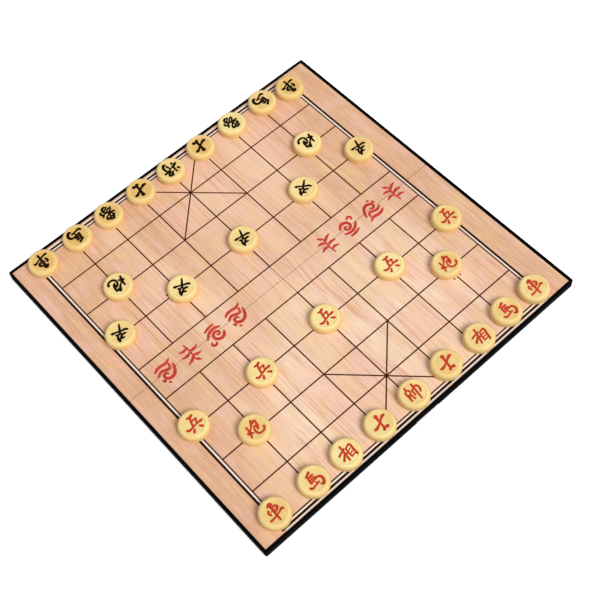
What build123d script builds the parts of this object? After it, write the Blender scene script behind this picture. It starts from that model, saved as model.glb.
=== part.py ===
from build123d import *
import os

# Magnetic folding xiangqi case with its thirty-two playing discs, open for play.
# Millimetres. +X runs along the fold, +Y from the red side to the black side, +Z up.
# The origin is on the table, under the middle of the open case.

# ---- case ----
case_length = 360.0       # along the fold
half_depth = 179.0        # from the fold line to the outer face of one half
seam_gap = 0.4            # between the two middle walls when the case lies open
shell_height = 9.0        # from the hinge line up to the top of the lip
rim_gap = 0.3             # left between the two rims when the case is shut
outer_wall = 2.2          # side walls, and so the lip round the playing face
middle_wall = 2.2
deck = 1.3                # plate that carries the steel sheet
lip_rise = 0.9            # lip above the printed film
corner_radius = 1.6
top_edge_round = 0.5
thumb_notch_width = 26.0
thumb_notch_height = 1.5

# ---- playing face ----
film_thickness = 0.25
film_margin = 0.6         # film edge to lip
film_shift_x = -0.5       # the film was laid a little to the left
steel_thickness = 0.35
steel_inset = 4.0         # film edge to steel edge
steel_clearance = 0.2

# ---- hinge ----
knuckle_radius = 2.0      # also the height of the hinge line above the table
knuckle_length = 10.0
knuckle_side_gap = 0.3
knuckle_clearance = 0.35  # between a knuckle and the notch in the other half
knuckle_count = 5         # in one station: the odd ones on the red half
station_x = 110.0
pin_radius = 0.8
pin_clearance = 0.05
pin_end_recess = 0.4

# ---- liner with a pocket for each disc ----
liner_thickness = 1.2
liner_clearance = 0.5
pocket_clearance = 0.5
pocket_columns = 8
pocket_rows = 4

# ---- feet ----
boss_radius = 3.5
boss_to_wall = 0.8        # leaves room for the rim of the other half
boss_web = 1.6
red_foot_inset = 12.0     # from the end of the case
pad_thickness = 1.0
stem_radius = 1.5
stem_length = 2.2
stem_clearance = 0.05

# ---- closing magnets in the outer rims ----
closure_radius = 3.0
closure_thickness = 2.0
closure_wall = 1.5
closure_glue = 0.1
closure_seat = 0.1        # magnet face behind the rim face

# ---- discs ----
disc_radius = 14.0
disc_height = 8.0
disc_shoulder = 3.2       # rounding above
disc_foot_round = 1.2     # rounding below
disc_face_land = 0.3      # flat ring round the sunk face
disc_face_sink = 0.25
disc_face_bevel = 0.5
magnet_radius = 8.0
magnet_thickness = 2.6
magnet_glue = 0.1
magnet_seat = 0.3         # magnet face above the film

# ---- board print that the discs stand on ----
file_count = 9            # lines from the left to the right, 0 to 8
rank_count = 10           # lines from the black end to the red end, 0 to 9
side_margin = 29.2        # outermost file to the side of the case
end_margin = 9.35         # outermost rank to the end of the case
print_shift_x = -3.1
print_shift_y = -0.7

# ---- levels above the table ----
axis_z = knuckle_radius
rim_z = axis_z + rim_gap / 2
lip_z = axis_z + shell_height
film_top_z = lip_z - lip_rise
film_z = film_top_z - film_thickness
steel_z = film_z - steel_thickness
deck_z = steel_z - deck

# ---- sizes that follow ----
sides = {"red": -1, "black": 1}
half_inner = seam_gap / 2
body_depth = half_depth - half_inner
hollow_length = case_length - 2 * outer_wall
hollow_depth = body_depth - outer_wall - middle_wall
hollow_y = half_inner + middle_wall + hollow_depth / 2
lip_y = half_depth - outer_wall
film_length = hollow_length - 2 * film_margin
film_depth = body_depth - outer_wall - film_margin
film_y = half_inner + film_depth / 2
steel_length = film_length - 2 * steel_inset
steel_depth = film_depth - 2 * steel_inset
knuckle_pitch = knuckle_length + knuckle_side_gap
pocket_pitch_x = hollow_length / pocket_columns
pocket_pitch_y = hollow_depth / pocket_rows
file_pitch = (case_length - 2 * side_margin) / (file_count - 1)
rank_pitch = 2 * (half_depth - end_margin) / (rank_count - 1)

# the bosses stand between the columns of pockets, and no foot meets a foot of the other half
foot_x = {"red": case_length / 2 - red_foot_inset, "black": 3 * pocket_pitch_x}
foot_y = lip_y - boss_to_wall - boss_radius
closure_x = 2 * pocket_pitch_x
closure_y = lip_y - closure_radius - closure_wall / 2


def knuckle_centres(colour):
    """X of each hinge knuckle that one half carries."""
    first = 0 if colour == "red" else 1
    middle = (knuckle_count - 1) / 2
    return [
        station + (index - middle) * knuckle_pitch
        for station in (-station_x, station_x)
        for index in range(first, knuckle_count, 2)
    ]


def pocket_centres(colour):
    """Pockets of one half, staggered so that both sets of discs fit in the shut case."""
    parity = 0 if colour == "red" else 1
    return [
        (
            (column - (pocket_columns - 1) / 2) * pocket_pitch_x,
            sides[colour] * (hollow_y + (row - (pocket_rows - 1) / 2) * pocket_pitch_y),
        )
        for row in range(pocket_rows)
        for column in range(pocket_columns)
        if (row + column) % 2 == parity
    ]


def closure_spots(colour):
    """Centres of the two closing magnets of one half."""
    return [(x, sides[colour] * closure_y) for x in (-closure_x, closure_x)]


def foot_spots(colour):
    """Centres of the two foot bosses of one half."""
    return [(x, sides[colour] * foot_y) for x in (-foot_x[colour], foot_x[colour])]


def make_case_shell(colour):
    """One half of the case: deck, walls, lip, bosses and its hinge knuckles."""
    side = sides[colour]
    other = "black" if colour == "red" else "red"
    outer_y = side * half_depth
    with BuildPart() as shell:
        with BuildSketch(Plane.XY.offset(rim_z)):
            with Locations((0, side * (half_inner + body_depth / 2))):
                Rectangle(case_length, body_depth)
            outer_corners = vertices().sort_by(Axis.Y)
            fillet(outer_corners[:2] if side < 0 else outer_corners[-2:], corner_radius)
        extrude(amount=lip_z - rim_z)
        top_edges = shell.faces().sort_by(Axis.Z)[-1].edges()
        seam_edge = top_edges.sort_by(Axis.Y)[-1 if side < 0 else 0]
        fillet([edge for edge in top_edges if edge != seam_edge], top_edge_round)

        # seat of the film, open along the fold, and the deeper seat of the steel sheet
        with BuildSketch(Plane.XY.offset(film_z)):
            with Locations((0, side * (half_inner + lip_y) / 2)):
                Rectangle(hollow_length, lip_y - half_inner)
        extrude(amount=lip_z - film_z, mode=Mode.SUBTRACT)
        with BuildSketch(Plane.XY.offset(steel_z)):
            with Locations((film_shift_x, side * film_y)):
                Rectangle(steel_length + 2 * steel_clearance, steel_depth + 2 * steel_clearance)
        extrude(amount=steel_thickness, mode=Mode.SUBTRACT)

        # hollow that holds the discs when the case is shut
        with BuildSketch(Plane.XY.offset(rim_z)):
            with Locations((0, side * hollow_y)):
                Rectangle(hollow_length, hollow_depth)
        extrude(amount=deck_z - rim_z, mode=Mode.SUBTRACT)

        # foot bosses, each tied to the wall by a web, and drilled for the pad's stem
        with BuildSketch(Plane.XY.offset(pad_thickness)):
            with Locations(*foot_spots(colour)):
                Circle(boss_radius)
        extrude(amount=deck_z - pad_thickness)
        with BuildSketch(Plane.XY.offset(rim_z)):
            with Locations(*[(x, (y + outer_y) / 2) for x, y in foot_spots(colour)]):
                Rectangle(boss_web, half_depth - foot_y)
        extrude(amount=deck_z - rim_z)
        with BuildSketch(Plane.XY.offset(pad_thickness)):
            with Locations(*foot_spots(colour)):
                Circle(stem_radius + stem_clearance)
        extrude(amount=stem_length + stem_clearance, mode=Mode.SUBTRACT)

        # bosses of the closing magnets
        with BuildSketch(Plane.XY.offset(rim_z)):
            with Locations(*closure_spots(colour)):
                Circle(closure_radius + closure_wall)
        extrude(amount=deck_z - rim_z)
        with BuildSketch(Plane.XY.offset(rim_z)):
            with Locations(*closure_spots(colour)):
                Circle(closure_radius + closure_glue)
        extrude(amount=closure_seat + closure_thickness + closure_glue, mode=Mode.SUBTRACT)

        # thumb notch under the middle of the outer rim
        with BuildSketch(Plane.XZ.offset(-outer_y)):
            with Locations((0, rim_z)):
                Rectangle(thumb_notch_width, 2 * thumb_notch_height)
        extrude(amount=side * outer_wall, mode=Mode.SUBTRACT)

        # notches that clear the other half's knuckles, then this half's own knuckles
        for x in knuckle_centres(other):
            notch_length = knuckle_length + 2 * knuckle_side_gap
            with BuildSketch(Plane.YZ.offset(x - notch_length / 2)):
                with Locations((0, axis_z)):
                    Circle(knuckle_radius + knuckle_clearance)
            extrude(amount=notch_length, mode=Mode.SUBTRACT)
        for x in knuckle_centres(colour):
            with BuildSketch(Plane.YZ.offset(x - knuckle_length / 2)):
                with Locations((0, axis_z)):
                    Circle(knuckle_radius)
            extrude(amount=knuckle_length)
            with BuildSketch(Plane.YZ.offset(x - knuckle_length / 2)):
                with Locations((0, axis_z)):
                    Circle(pin_radius + pin_clearance)
            extrude(amount=knuckle_length, mode=Mode.SUBTRACT)
    return shell.part


def make_board_film(colour):
    """Printed film that covers the deck and the steel sheet."""
    with BuildPart() as film:
        with BuildSketch(Plane.XY.offset(film_z)):
            with Locations((film_shift_x, sides[colour] * film_y)):
                Rectangle(film_length, film_depth)
        extrude(amount=film_thickness)
    return film.part


def make_steel_sheet(colour):
    """Thin sheet that the discs' magnets hold on to."""
    with BuildPart() as sheet:
        with BuildSketch(Plane.XY.offset(steel_z)):
            with Locations((film_shift_x, sides[colour] * film_y)):
                Rectangle(steel_length, steel_depth)
        extrude(amount=steel_thickness)
    return sheet.part


def make_liner(colour):
    """Foam sheet under the deck, with a round pocket for each stored disc."""
    side = sides[colour]
    closure_cut = closure_radius + closure_wall + liner_clearance
    foot_cut = boss_radius + liner_clearance
    with BuildPart() as liner:
        with BuildSketch(Plane.XY.offset(deck_z - liner_thickness)):
            with Locations((0, side * hollow_y)):
                Rectangle(hollow_length - 2 * liner_clearance, hollow_depth - 2 * liner_clearance)
            with Locations(*pocket_centres(colour)):
                Circle(disc_radius + pocket_clearance, mode=Mode.SUBTRACT)
            for spots, cut in ((foot_spots(colour), foot_cut), (closure_spots(colour), closure_cut)):
                for x, y in spots:
                    with Locations((x, y)):
                        Circle(cut, mode=Mode.SUBTRACT)
                    with Locations((x, (y + side * lip_y) / 2)):
                        Rectangle(2 * cut, lip_y - abs(y), mode=Mode.SUBTRACT)
        extrude(amount=liner_thickness)
    return liner.part


def make_foot_pads(colour):
    """Two rubber pads, each with a stem in its boss."""
    with BuildPart() as pads:
        with BuildSketch():
            with Locations(*foot_spots(colour)):
                Circle(boss_radius)
        extrude(amount=pad_thickness)
        with BuildSketch(Plane.XY.offset(pad_thickness)):
            with Locations(*foot_spots(colour)):
                Circle(stem_radius)
        extrude(amount=stem_length)
    return pads.part


def make_closure_magnets(colour):
    """Two round magnets behind the outer rim that hold the case shut."""
    with BuildPart() as magnets:
        with BuildSketch(Plane.XY.offset(rim_z + closure_seat)):
            with Locations(*closure_spots(colour)):
                Circle(closure_radius)
        extrude(amount=closure_thickness)
    return magnets.part


def make_hinge_pins():
    """One steel pin through the knuckles of each station."""
    pin_length = (knuckle_count - 1) * knuckle_pitch + knuckle_length - 2 * pin_end_recess
    with BuildPart() as pins:
        for station in (-station_x, station_x):
            with BuildSketch(Plane.YZ.offset(station - pin_length / 2)):
                with Locations((0, axis_z)):
                    Circle(pin_radius)
            extrude(amount=pin_length)
    return pins.part


def make_disc(x, y):
    """One playing disc standing on the film, with the magnet in its underside."""
    recess_radius = magnet_radius + magnet_glue
    recess_height = magnet_seat + magnet_thickness + magnet_glue
    foot_radius = disc_radius - disc_foot_round
    crown_radius = disc_radius - disc_shoulder
    face_radius = crown_radius - disc_face_land
    shoulder_z = disc_height - disc_shoulder
    face_z = disc_height - disc_face_sink
    with BuildPart() as disc:
        with BuildSketch(Plane((x, y, film_top_z), x_dir=(1, 0, 0), z_dir=(0, -1, 0))):
            with BuildLine():
                Polyline((0, recess_height), (recess_radius, recess_height), (recess_radius, 0),
                         (foot_radius, 0))
                RadiusArc((foot_radius, 0), (disc_radius, disc_foot_round), -disc_foot_round)
                Line((disc_radius, disc_foot_round), (disc_radius, shoulder_z))
                RadiusArc((disc_radius, shoulder_z), (crown_radius, disc_height), -disc_shoulder)
                Polyline((crown_radius, disc_height), (face_radius, disc_height),
                         (face_radius - disc_face_bevel, face_z), (0, face_z), (0, recess_height))
            make_face()
        revolve(axis=Axis((x, y, film_top_z), (0, 0, 1)))
        with BuildSketch(Plane((x, y, film_top_z + magnet_seat))):
            Circle(magnet_radius)
        extrude(amount=magnet_thickness)
    return disc.part


def file_x(file):
    """X of one of the board's files."""
    return print_shift_x + (file - (file_count - 1) / 2) * file_pitch


def rank_y(rank):
    """Y of one of the board's ranks."""
    return print_shift_y + ((rank_count - 1) / 2 - rank) * rank_pitch


# ---- how the discs stand ----
# a back rank stands just inside the lip: each disc is its step to the right of its file and
# its gap from the lip
back_ranks = {
    "black": [
        ("chariot_1", 2.6, 0.3), ("horse_1", 4.1, 0.3), ("elephant_1", 2.7, 0.6),
        ("advisor_1", 2.9, 0.6), ("general", 0.9, 1.7), ("advisor_2", 1.1, 0.3),
        ("elephant_2", 2.9, 0.3), ("horse_2", 4.1, 0.3), ("chariot_2", -2.8, 5.9),
    ],
    "red": [
        ("chariot_1", 0.4, 2.6), ("horse_1", 3.4, 1.3), ("elephant_1", 0.8, 0.4),
        ("advisor_1", 1.1, 0.4), ("general", 3.1, 0.6), ("advisor_2", 4.4, 1.7),
        ("elephant_2", 5.4, 0.3), ("horse_2", 3.2, 1.9), ("chariot_2", -0.8, 0.9),
    ],
}
# the others stand on their points, each a small step to the right and towards black
front_ranks = {
    ("black", "cannon", 2): [(1, -0.1, 1.0), (7, 1.9, 0.4)],
    ("black", "soldier", 3): [(0, 9.2, -1.5), (2, 2.6, -3.1), (4, 0.0, -1.4), (6, 1.0, 1.3), (8, -5.4, -0.9)],
    ("red", "soldier", 6): [(0, 1.4, 0.6), (2, -0.4, -1.6), (4, -1.5, -0.5), (6, 0.6, -0.8), (8, -2.3, -0.1)],
    ("red", "cannon", 7): [(1, -1.9, 0.6), (7, 0.0, 2.9)],
}

disc_places = {}
for colour, row in back_ranks.items():
    for file, (name, step_x, gap) in enumerate(row):
        y = sides[colour] * (lip_y - gap - disc_radius)
        disc_places[f"{colour}_{name}"] = (file_x(file) + step_x, y)
for (colour, kind, rank), row in front_ranks.items():
    for number, (file, step_x, step_y) in enumerate(row, start=1):
        place = (file_x(file) + step_x, rank_y(rank) + step_y)
        disc_places[f"{colour}_{kind}_{number}"] = place

# ---- build and write ----
os.makedirs("parts", exist_ok=True)

makers = {
    "case_shell": make_case_shell,
    "board_film": make_board_film,
    "steel_sheet": make_steel_sheet,
    "liner": make_liner,
    "foot_pads": make_foot_pads,
    "closure_magnets": make_closure_magnets,
}
for colour in sides:
    for name, maker in makers.items():
        piece = maker(colour)
        piece.label = f"{name}_{colour}"
        export_step(piece, f"parts/{name}_{colour}.step")

hinge_pins = make_hinge_pins()
hinge_pins.label = "hinge_pins"
export_step(hinge_pins, "parts/hinge_pins.step")

for name, (x, y) in disc_places.items():
    disc = make_disc(x, y)
    disc.label = name
    export_step(disc, f"parts/{name}.step")
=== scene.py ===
"""Looks of a folding magnetic xiangqi case, open for play with its discs set out."""

import logging
import math
import random
from dataclasses import dataclass
from enum import Enum

import bmesh
import bpy
from mathutils import Euler, Matrix, Vector


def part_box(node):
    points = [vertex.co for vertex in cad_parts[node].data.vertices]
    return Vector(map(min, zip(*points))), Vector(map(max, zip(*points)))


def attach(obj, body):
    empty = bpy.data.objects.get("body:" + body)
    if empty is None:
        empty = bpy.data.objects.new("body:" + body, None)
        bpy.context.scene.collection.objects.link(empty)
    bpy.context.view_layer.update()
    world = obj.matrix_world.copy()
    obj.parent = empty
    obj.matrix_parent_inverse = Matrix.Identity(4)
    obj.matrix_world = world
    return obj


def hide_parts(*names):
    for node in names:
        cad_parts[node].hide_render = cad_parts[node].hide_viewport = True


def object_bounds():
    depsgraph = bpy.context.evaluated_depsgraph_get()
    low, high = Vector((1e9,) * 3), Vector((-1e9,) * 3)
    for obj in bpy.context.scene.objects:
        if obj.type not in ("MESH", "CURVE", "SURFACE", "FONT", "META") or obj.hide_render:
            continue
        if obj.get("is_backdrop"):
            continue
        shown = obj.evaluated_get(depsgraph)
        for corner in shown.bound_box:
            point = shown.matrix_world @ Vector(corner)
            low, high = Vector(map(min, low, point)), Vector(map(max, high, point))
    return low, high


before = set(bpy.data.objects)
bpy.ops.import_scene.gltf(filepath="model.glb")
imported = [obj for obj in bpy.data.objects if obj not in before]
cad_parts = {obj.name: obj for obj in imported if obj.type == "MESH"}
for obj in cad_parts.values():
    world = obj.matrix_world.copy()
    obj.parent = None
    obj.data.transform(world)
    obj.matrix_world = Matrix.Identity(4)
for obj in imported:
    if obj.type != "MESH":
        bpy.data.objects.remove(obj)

LOG = logging.getLogger("xiangqi_case")
MM = 0.001
MERGE_DISTANCE = 1e-6
NOISE_SPAN = (0.3, 0.7)  # nearly all values of a noise lie between these
NOISE_MIDDLE = 0.5
Socket = bpy.types.NodeSocket
Colour = tuple[float, float, float, float]
Span = tuple[float, float]
Point = tuple[float, float]
Stroke = list[tuple[float, float, float]]
WHITE: Colour = (1.0, 1.0, 1.0, 1.0)
NO_LIGHT: Colour = (0.0, 0.0, 0.0, 1.0)


def srgb(red: int, green: int, blue: int) -> Colour:
    """Turn a display colour of 0 to 255 into the linear colour that shaders use.

    Args:
        red: Red from 0 to 255.
        green: Green from 0 to 255.
        blue: Blue from 0 to 255.

    Returns:
        Linear red, green, blue and an alpha of one.
    """
    linear = []
    for value in (red / 255, green / 255, blue / 255):
        linear.append(value / 12.92 if value <= 0.04045 else ((value + 0.055) / 1.055) ** 2.4)
    return (linear[0], linear[1], linear[2], 1.0)


class Side(Enum):
    """The two players' halves of the case, with the way each one lies from the fold."""

    RED = ("red", -1.0)
    BLACK = ("black", 1.0)

    @property
    def colour(self) -> str:
        """Name of the side, as the frame's nodes and bodies end with it."""
        return self.value[0]

    @property
    def way(self) -> float:
        """-1 where the half lies towards -Y, and 1 where it lies towards +Y."""
        return self.value[1]

    @property
    def body(self) -> str:
        """Body that this half of the case rides on."""
        return f"half_{self.colour}"

    @property
    def facing(self) -> float:
        """Degrees that turn a mark upright for this side's player."""
        return 0.0 if self is Side.RED else 180.0


# ------------------------------------------------------------------ shader trees


class Tree:
    """Short way to add nodes to a shader tree and join them up."""

    def __init__(self, tree: bpy.types.NodeTree) -> None:
        """Keep the tree that nodes go into."""
        self.tree = tree

    def node(self, kind: str, inputs: dict | None = None, **settings: object) -> bpy.types.Node:
        """Add one node.

        Args:
            kind: Blender's name of the node type.
            inputs: Value or socket for each named or numbered input.
            **settings: Attributes to set on the node.

        Returns:
            The new node.
        """
        node = self.tree.nodes.new(kind)
        for name, value in settings.items():
            setattr(node, name, value)
        for name, value in (inputs or {}).items():
            if isinstance(value, Socket):
                self.tree.links.new(value, node.inputs[name])
            else:
                node.inputs[name].default_value = value
        return node

    def math(self, operation: str, first: object, second: object = 0.0) -> Socket:
        """Add a Math node and return its result."""
        return self.node("ShaderNodeMath", {0: first, 1: second}, operation=operation).outputs[0]

    def mix(self, factor: object, first: object, second: object) -> Socket:
        """Add a colour Mix node and return its result."""
        mixer = self.node("ShaderNodeMix", {0: factor, 6: first, 7: second}, data_type="RGBA")
        return mixer.outputs[2]

    def remap(self, value: object, low: float, high: float, to_low: float, to_high: float) -> Socket:
        """Add a Map Range node that clamps, and return its result."""
        ranges = {0: value, 1: low, 2: high, 3: to_low, 4: to_high}
        return self.node("ShaderNodeMapRange", ranges).outputs[0]

    def noise(self, place: Socket, scale: object, detail: float) -> Socket:
        """Add a Noise Texture node and return its value."""
        values = {"Vector": place, "Scale": scale, "Detail": detail}
        return self.node("ShaderNodeTexNoise", values).outputs[0]

    def place(self) -> Socket:
        """Add a Texture Coordinate node and return its Object coordinates."""
        return self.node("ShaderNodeTexCoord").outputs["Object"]

    def axes(self) -> list[Socket]:
        """Split the Object coordinates into X, Y and Z."""
        return list(self.node("ShaderNodeSeparateXYZ", {0: self.place()}).outputs)

    def group(self, group: bpy.types.NodeTree, **values: float) -> bpy.types.NodeOutputs:
        """Place a shared group with values of its own and return its outputs."""
        return self.node("ShaderNodeGroup", values, node_tree=group).outputs

    def attribute(self, name: str) -> Socket:
        """Add an Attribute node and return its number."""
        return self.node("ShaderNodeAttribute", attribute_name=name).outputs["Fac"]

    def ramp(self, factor: Socket, stops: list[tuple[float, Colour]]) -> Socket:
        """Add a colour ramp.

        Args:
            factor: Socket that picks the place on the ramp.
            stops: Place and colour of each stop, in order.

        Returns:
            The ramp's colour.
        """
        node = self.node("ShaderNodeValToRGB", {0: factor})
        elements = node.color_ramp.elements
        while len(elements) < len(stops):
            elements.new(0.5)
        for element, (place, colour) in zip(elements, stops):
            element.position = place
            element.color = colour
        return node.outputs[0]

    def dress(self, shader: bpy.types.Node, colour: Socket, roughness: Socket, height: Socket,
              depth: float) -> None:
        """Join a finish to its shader.

        Args:
            shader: The Principled shader.
            colour: Base colour.
            roughness: Roughness.
            height: Height of the surface's grain, from 0 to 1.
            depth: Depth of that grain, in metres.
        """
        bump = self.node("ShaderNodeBump", {"Height": height, "Distance": depth, "Strength": 1.0})
        joins = {"Base Color": colour, "Roughness": roughness, "Normal": bump.outputs[0]}
        for name, value in joins.items():
            self.tree.links.new(value, shader.inputs[name])


@dataclass
class SharedGroups:
    """Shader node groups that several finishes share, each built once."""

    drift_scale: float = 9.0
    drift_detail: float = 2.0
    fibre_detail: float = 4.0
    grain_detail: float = 2.0
    cloud_detail: float = 5.0

    def __post_init__(self) -> None:
        """Build both groups."""
        self.fibres = self._make_fibres()
        self.skin = self._make_skin()

    @staticmethod
    def _open(name: str, inputs: dict[str, float], outputs: list[str]) -> bpy.types.NodeTree:
        """Start a group that takes and gives numbers.

        Args:
            name: Name of the group.
            inputs: Name and usual value of each input.
            outputs: Name of each output.

        Returns:
            The group, with its sockets and no nodes.
        """
        group = bpy.data.node_groups.new(name, "ShaderNodeTree")
        for label, value in inputs.items():
            socket = group.interface.new_socket(label, in_out="INPUT", socket_type="NodeSocketFloat")
            socket.default_value = value
        for label in outputs:
            group.interface.new_socket(label, in_out="OUTPUT", socket_type="NodeSocketFloat")
        return group

    def _make_fibres(self) -> bpy.types.NodeTree:
        """Noise drawn out along Y, as grain or brushing: its scales are per metre.

        Returns:
            The group.
        """
        inputs = {"Across": 400.0, "Along": 8.0, "Wander": 0.0, "Seed": 0.0}
        group = self._open("fibres", inputs, ["Value"])
        tree = Tree(group)
        given = tree.node("NodeGroupInput").outputs
        drift = tree.noise(tree.place(), self.drift_scale, self.drift_detail)
        shift = tree.math("MULTIPLY", tree.math("SUBTRACT", drift, NOISE_MIDDLE), given["Wander"])
        x, y, _ = tree.axes()
        across = tree.math("MULTIPLY", tree.math("ADD", x, shift), given["Across"])
        along = tree.math("MULTIPLY", y, given["Along"])
        drawn = tree.node("ShaderNodeCombineXYZ", {0: across, 1: along, 2: given["Seed"]}).outputs[0]
        tree.node("NodeGroupOutput", {"Value": tree.noise(drawn, 1.0, self.fibre_detail)})
        return group

    def _make_skin(self) -> bpy.types.NodeTree:
        """Fine grain of a moulded or foamed skin, and the soft cloudiness over it.

        Returns:
            The group.
        """
        group = self._open("skin", {"Grain": 3000.0, "Cloud": 40.0}, ["Height", "Cloudiness"])
        tree = Tree(group)
        given = tree.node("NodeGroupInput").outputs
        grain = tree.noise(tree.place(), given["Grain"], self.grain_detail)
        cloud = tree.noise(tree.place(), given["Cloud"], self.cloud_detail)
        tree.node("NodeGroupOutput", {"Height": grain, "Cloudiness": cloud})
        return group


GROUPS = SharedGroups()


def start_material(name: str, shader: dict) -> tuple[bpy.types.Material, Tree, bpy.types.Node]:
    """Make a material with a Principled shader.

    Args:
        name: Name of the material.
        shader: Values for the shader's own sockets.

    Returns:
        The material, its tree and its shader node.
    """
    material = bpy.data.materials.new(name)
    material.use_nodes = True
    tree = Tree(material.node_tree)
    principled = material.node_tree.nodes["Principled BSDF"]
    for socket, value in shader.items():
        principled.inputs[socket].default_value = value
    return material, tree, principled


@dataclass(frozen=True)
class SkinFinish:
    """A moulded, foamed or painted skin: one colour, gently clouded, with a fine grain."""

    name: str
    dark: Colour
    light: Colour
    roughness: Span
    grain: float
    grain_depth: float
    cloud: float = 40.0
    specular: float = 0.5

    def make(self) -> bpy.types.Material:
        """Build the material.

        Returns:
            The material.
        """
        material, tree, shader = start_material(self.name, {"Specular IOR Level": self.specular})
        skin = tree.group(GROUPS.skin, Grain=self.grain, Cloud=self.cloud)
        share = tree.remap(skin["Cloudiness"], *NOISE_SPAN, 0.0, 1.0)
        colour = tree.mix(share, self.dark, self.light)
        roughness = tree.remap(skin["Cloudiness"], *NOISE_SPAN, *self.roughness)
        tree.dress(shader, colour, roughness, skin["Height"], self.grain_depth)
        return material


@dataclass(frozen=True)
class MetalFinish:
    """A drawn, rolled or plated metal with brushing along Y."""

    name: str
    colour: Colour
    roughness: Span
    across: float = 4000.0
    along: float = 60.0
    dark_share: float = 0.8
    brush_depth: float = 0.02 * MM

    def make(self) -> bpy.types.Material:
        """Build the material.

        Returns:
            The material.
        """
        material, tree, shader = start_material(self.name, {"Metallic": 1.0})
        brushing = tree.group(GROUPS.fibres, Across=self.across, Along=self.along)["Value"]
        darker = tuple(self.dark_share * part for part in self.colour[:3]) + (1.0,)
        colour = tree.mix(tree.remap(brushing, *NOISE_SPAN, 0.0, 1.0), darker, self.colour)
        roughness = tree.remap(brushing, *NOISE_SPAN, *self.roughness)
        tree.dress(shader, colour, roughness, brushing, self.brush_depth)
        return material


class Grain(Enum):
    """Layers of wood grain: scale across and along, per metre, wander in metres, and a seed."""

    BOARD = (34.0, 3.0, 0.02, 11.0)
    FLUSH = (50.0, 12.0, 0.02, 71.0)
    BAND = (100.0, 11.0, 0.018, 23.0)
    TINGE = (95.0, 38.0, 0.012, 91.0)
    VEIN = (190.0, 3.0, 0.015, 51.0)
    FINE = (560.0, 9.0, 0.006, 3.0)
    PORE = (1300.0, 36.0, 0.004, 37.0)

    def place(self, tree: Tree) -> Socket:
        """Place the layer in a tree and return its value."""
        across, along, wander, seed = self.value
        return tree.group(GROUPS.fibres, Across=across, Along=along, Wander=wander, Seed=seed)["Value"]


@dataclass(frozen=True)
class Wash:
    """A colour laid over the wood: none where its layer is at start, and share where it is at full."""

    layer: Grain
    start: float
    full: float
    share: float
    colour: Colour


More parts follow.
